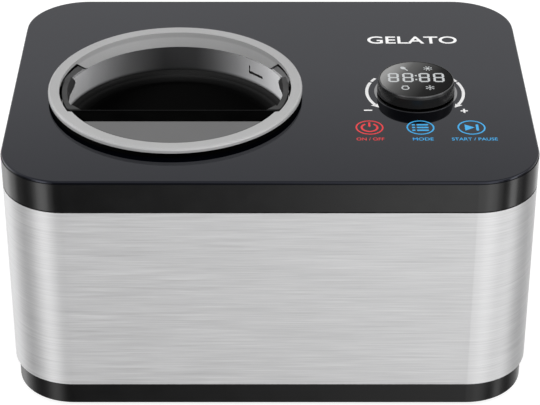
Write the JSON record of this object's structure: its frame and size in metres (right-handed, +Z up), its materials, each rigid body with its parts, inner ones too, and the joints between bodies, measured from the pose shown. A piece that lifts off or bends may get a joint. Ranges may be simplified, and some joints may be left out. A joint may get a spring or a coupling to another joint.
{
  "type": "ice cream maker",
  "caption": "Counter-top compressor ice cream maker: brushed steel case, gloss black top, round lid with a folding grip over a removable bowl, turning control ring with display.",
  "frame": {"origin": "on the floor under the middle of the case", "axes": "+Z up, -Y out of the front, +X to the right seen from the front"},
  "size_m": [0.385, 0.2818, 0.2091],
  "materials": {
    "case_gloss": "gloss black moulded ABS",
    "panel_gloss": "polished black panel with printed symbols",
    "steel": "horizontally brushed stainless steel",
    "base_black": "fine-textured black plastic",
    "rubber_black": "matt black rubber",
    "silicone": "translucent grey silicone",
    "bowl_aluminium": "hard-anodised grey aluminium",
    "barrel_aluminium": "plain aluminium",
    "paddle_plastic": "pale natural plastic",
    "copper": "copper tube",
    "foam": "rigid cream polyurethane foam",
    "pot_black": "black enamelled steel",
    "silver_satin": "satin silver plating",
    "deck_grey": "satin grey plate",
    "dish_black": "semi-gloss black plastic",
    "grip_black": "dead-matt soft-touch black",
    "trim_chrome": "bright trim",
    "knob_black": "satin black",
    "lens_black": "dark display window",
    "board_green": "green circuit board",
    "gear_white": "natural acetal",
    "screw_steel": "zinc-plated steel",
    "bronze": "sintered bronze",
    "motor_grey": "grey plated steel",
    "housing_grey": "grey structural plastic"
  },
  "bodies": {
    "housing": {"steel_wrap": "steel", "rear_vent_panel": "base_black", "power_inlet": "base_black", "base_tray": "base_black", "rubber_feet": "rubber_black", "base_screws": "screw_steel", "top_rim_frame": "case_gloss", "top_glass_panel": "panel_gloss", "bowl_well_collar": "case_gloss", "evaporator_barrel": "barrel_aluminium", "evaporator_coil": "copper", "insulation_jacket": "foam", "shaft_bush": "bronze", "shaft_seal": "silicone", "gearbox_housing": "housing_grey", "gearbox_cover": "housing_grey", "gearbox_screws": "screw_steel", "idler_axle": "screw_steel", "agitator_motor": "motor_grey", "compressor_shell": "pot_black", "compressor_grommets": "rubber_black", "compressor_bolts": "screw_steel", "relay_cover": "housing_grey", "condenser_coil": "copper", "condenser_fins": "barrel_aluminium", "fan_shroud": "base_black", "fan_motor": "motor_grey", "filter_dryer": "copper", "suction_line": "copper", "discharge_line": "copper", "liquid_line": "copper", "capillary_tube": "copper", "control_board": "board_green", "board_screws": "screw_steel", "touch_key_springs": "screw_steel", "knob_base_ring": "trim_chrome", "display_housing": "base_black", "display_lens": "lens_black", "power_board": "board_green", "power_board_stand": "housing_grey", "run_capacitor": "housing_grey", "capacitor_clip": "housing_grey"},
    "bowl": {"ice_bowl": "bowl_aluminium"},
    "paddle": {"mixing_paddle": "paddle_plastic"},
    "lid": {"lid_ring": "silver_satin", "lid_dish": "dish_black", "lid_deck": "deck_grey", "lid_gasket": "silicone"},
    "grip": {"lid_handle": "grip_black", "handle_pins": "screw_steel"},
    "drive": {"drive_shaft": "screw_steel", "output_gear": "gear_white"},
    "idler": {"idler_gear": "gear_white"},
    "pinion": {"motor_pinion": "gear_white"},
    "fan": {"fan_blades": "housing_grey"},
    "control_ring": {"knob_ring": "knob_black", "knob_trim_ring": "trim_chrome", "encoder_ring": "knob_black"}
  },
  "joints": [
    {"name": "bowl_lift", "type": "slide", "parent": "housing", "child": "bowl", "axis": [0, 0, 1], "range_m": [0, 0.14]},
    {"name": "lid_lift", "type": "slide", "parent": "bowl", "child": "lid", "axis": [0, 0, 1], "range_m": [0, 0.1]},
    {"name": "grip_fold", "type": "hinge", "parent": "lid", "child": "grip", "pos_m": [-0.0706, -0.0095, 0.1957], "axis": [-1, 0, 0], "range_deg": [0, 90]},
    {"name": "paddle_spin", "type": "hinge", "parent": "bowl", "child": "paddle", "pos_m": [-0.0706, -0.0135, 0.08], "axis": [0, 0, 1], "continuous": true},
    {"name": "drive_spin", "type": "hinge", "parent": "housing", "child": "drive", "pos_m": [-0.0706, -0.0135, 0.06], "axis": [0, 0, 1], "continuous": true},
    {"name": "idler_spin", "type": "hinge", "parent": "housing", "child": "idler", "pos_m": [-0.0386, -0.0135, 0.045], "axis": [0, 0, 1], "continuous": true},
    {"name": "pinion_spin", "type": "hinge", "parent": "housing", "child": "pinion", "pos_m": [-0.0106, -0.0135, 0.045], "axis": [0, 0, 1], "continuous": true},
    {"name": "fan_spin", "type": "hinge", "parent": "housing", "child": "fan", "pos_m": [0.112, 0.093, 0.092], "axis": [0, 1, 0], "continuous": true},
    {"name": "control_turn", "type": "hinge", "parent": "housing", "child": "control_ring", "pos_m": [0.109, -0.012, 0.2037], "axis": [0, 0, 1], "continuous": true}
  ],
  "couplings": [
    {"joint": "paddle_spin", "follows": "drive_spin", "ratio": 1},
    {"joint": "idler_spin", "follows": "drive_spin", "ratio": -3},
    {"joint": "pinion_spin", "follows": "drive_spin", "ratio": 9}
  ]
}
